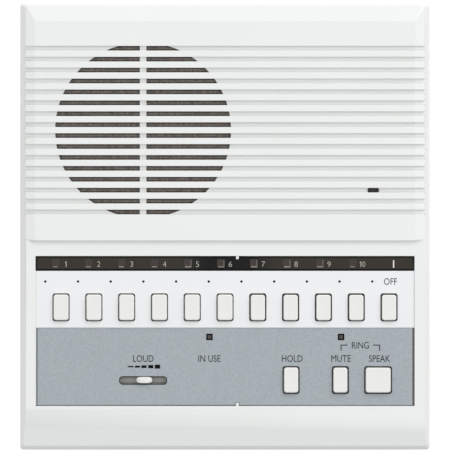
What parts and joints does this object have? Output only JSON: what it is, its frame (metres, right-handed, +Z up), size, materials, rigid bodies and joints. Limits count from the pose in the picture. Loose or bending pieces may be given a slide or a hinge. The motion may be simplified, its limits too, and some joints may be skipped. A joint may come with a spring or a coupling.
{
  "type": "desk intercom",
  "caption": "Flat white desk intercom with a louvred speaker grille, a row of selector keys, talk keys and a volume slider on a grey control plate.",
  "frame": {"origin": "centre of the bounding box's base, on the desk under the middle of the case", "axes": "+X to the user's right, +Y away from the user, +Z up out of the key panel"},
  "size_m": [0.195, 0.2126, 0.0542],
  "materials": {
    "white_abs": "fine satin",
    "white_plate": "satin sheet",
    "grey_plate": "fine speckle",
    "smoked_acrylic": "polished, smoked",
    "black_plastic": "satin",
    "grey_plastic": "satin",
    "black_rubber": "matte",
    "zinc_steel": "zinc plated",
    "circuit_board": "paper laminate",
    "capacitor_can": "satin",
    "lamp_epoxy": "diffused epoxy",
    "speaker_cloth": "woven",
    "ferrite": "sintered",
    "cone_paper": "pressed paper"
  },
  "bodies": {
    "case": {"front_cover": "white_abs", "rear_case": "white_abs", "rubber_feet": "black_rubber", "case_screws": "zinc_steel", "indicator_window": "smoked_acrylic", "selector_plate": "white_plate", "control_plate": "grey_plate", "hold_switch": "black_plastic", "mute_switch": "black_plastic", "talk_switch": "black_plastic", "switch_frame": "black_plastic", "volume_pot": "black_plastic", "main_board": "circuit_board", "filter_capacitors": "capacitor_can", "lamp_board": "circuit_board", "station_lamps": "lamp_epoxy", "busy_lamp": "lamp_epoxy", "call_lamp": "lamp_epoxy", "mic_boot": "black_rubber", "mic_capsule": "capacitor_can", "grille_cloth": "speaker_cloth", "speaker_frame": "zinc_steel", "speaker_magnet": "ferrite", "speaker_surround": "black_rubber", "speaker_clamps": "zinc_steel", "inner_screws": "zinc_steel", "terminal_block": "black_plastic", "terminal_screws": "zinc_steel"},
    "selector_1_key": {"selector_1_key": "white_abs", "selector_1_plunger": "black_plastic"},
    "selector_2_key": {"selector_2_key": "white_abs", "selector_2_plunger": "black_plastic"},
    "selector_3_key": {"selector_3_key": "white_abs", "selector_3_plunger": "black_plastic"},
    "selector_4_key": {"selector_4_key": "white_abs", "selector_4_plunger": "black_plastic"},
    "selector_5_key": {"selector_5_key": "white_abs", "selector_5_plunger": "black_plastic"},
    "selector_6_key": {"selector_6_key": "white_abs", "selector_6_plunger": "black_plastic"},
    "selector_7_key": {"selector_7_key": "white_abs", "selector_7_plunger": "black_plastic"},
    "selector_8_key": {"selector_8_key": "white_abs", "selector_8_plunger": "black_plastic"},
    "selector_9_key": {"selector_9_key": "white_abs", "selector_9_plunger": "black_plastic"},
    "selector_10_key": {"selector_10_key": "white_abs", "selector_10_plunger": "black_plastic"},
    "off_key": {"off_key": "white_abs", "off_plunger": "black_plastic"},
    "hold_key": {"hold_key": "white_abs", "hold_plunger": "black_plastic"},
    "mute_key": {"mute_key": "white_abs", "mute_plunger": "black_plastic"},
    "talk_key": {"talk_key": "white_abs", "talk_plunger": "black_plastic"},
    "volume_knob": {"volume_knob": "white_abs", "volume_slider": "grey_plastic"},
    "latch_bar": {"latch_bar": "zinc_steel"},
    "speaker_cone": {"speaker_cone": "cone_paper"}
  },
  "joints": [
    {"name": "selector_1_press", "type": "slide", "parent": "case", "child": "selector_1_key", "axis": [0, 0, 1], "range_m": [-0.0025, 0], "stiffness_N_per_m": 300, "springref_m": 0.002},
    {"name": "selector_2_press", "type": "slide", "parent": "case", "child": "selector_2_key", "axis": [0, 0, 1], "range_m": [-0.0025, 0], "stiffness_N_per_m": 300, "springref_m": 0.002},
    {"name": "selector_3_press", "type": "slide", "parent": "case", "child": "selector_3_key", "axis": [0, 0, 1], "range_m": [-0.0025, 0], "stiffness_N_per_m": 300, "springref_m": 0.002},
    {"name": "selector_4_press", "type": "slide", "parent": "case", "child": "selector_4_key", "axis": [0, 0, 1], "range_m": [-0.0025, 0], "stiffness_N_per_m": 300, "springref_m": 0.002},
    {"name": "selector_5_press", "type": "slide", "parent": "case", "child": "selector_5_key", "axis": [0, 0, 1], "range_m": [-0.0025, 0], "stiffness_N_per_m": 300, "springref_m": 0.002},
    {"name": "selector_6_press", "type": "slide", "parent": "case", "child": "selector_6_key", "axis": [0, 0, 1], "range_m": [-0.0025, 0], "stiffness_N_per_m": 300, "springref_m": 0.002},
    {"name": "selector_7_press", "type": "slide", "parent": "case", "child": "selector_7_key", "axis": [0, 0, 1], "range_m": [-0.0025, 0], "stiffness_N_per_m": 300, "springref_m": 0.002},
    {"name": "selector_8_press", "type": "slide", "parent": "case", "child": "selector_8_key", "axis": [0, 0, 1], "range_m": [-0.0025, 0], "stiffness_N_per_m": 300, "springref_m": 0.002},
    {"name": "selector_9_press", "type": "slide", "parent": "case", "child": "selector_9_key", "axis": [0, 0, 1], "range_m": [-0.0025, 0], "stiffness_N_per_m": 300, "springref_m": 0.002},
    {"name": "selector_10_press", "type": "slide", "parent": "case", "child": "selector_10_key", "axis": [0, 0, 1], "range_m": [-0.0025, 0], "stiffness_N_per_m": 300, "springref_m": 0.002},
    {"name": "off_press", "type": "slide", "parent": "case", "child": "off_key", "axis": [0, 0, 1], "range_m": [-0.0025, 0], "stiffness_N_per_m": 300, "springref_m": 0.002},
    {"name": "hold_press", "type": "slide", "parent": "case", "child": "hold_key", "axis": [0, 0, 1], "range_m": [-0.0025, 0], "stiffness_N_per_m": 300, "springref_m": 0.002},
    {"name": "mute_press", "type": "slide", "parent": "case", "child": "mute_key", "axis": [0, 0, 1], "range_m": [-0.0025, 0], "stiffness_N_per_m": 300, "springref_m": 0.002},
    {"name": "talk_press", "type": "slide", "parent": "case", "child": "talk_key", "axis": [0, 0, 1], "range_m": [-0.0025, 0], "stiffness_N_per_m": 300, "springref_m": 0.002},
    {"name": "volume_slide", "type": "slide", "parent": "case", "child": "volume_knob", "axis": [1, 0, 0], "range_m": [-0.007, 0.006]},
    {"name": "latch_shift", "type": "slide", "parent": "case", "child": "latch_bar", "axis": [1, 0, 0], "range_m": [0, 0.0015], "stiffness_N_per_m": 300, "springref_m": -0.002},
    {"name": "cone_drive", "type": "slide", "parent": "case", "child": "speaker_cone", "axis": [0, 0, 1], "range_m": [-0.0006, 0.0006], "stiffness_N_per_m": 1500}
  ]
}
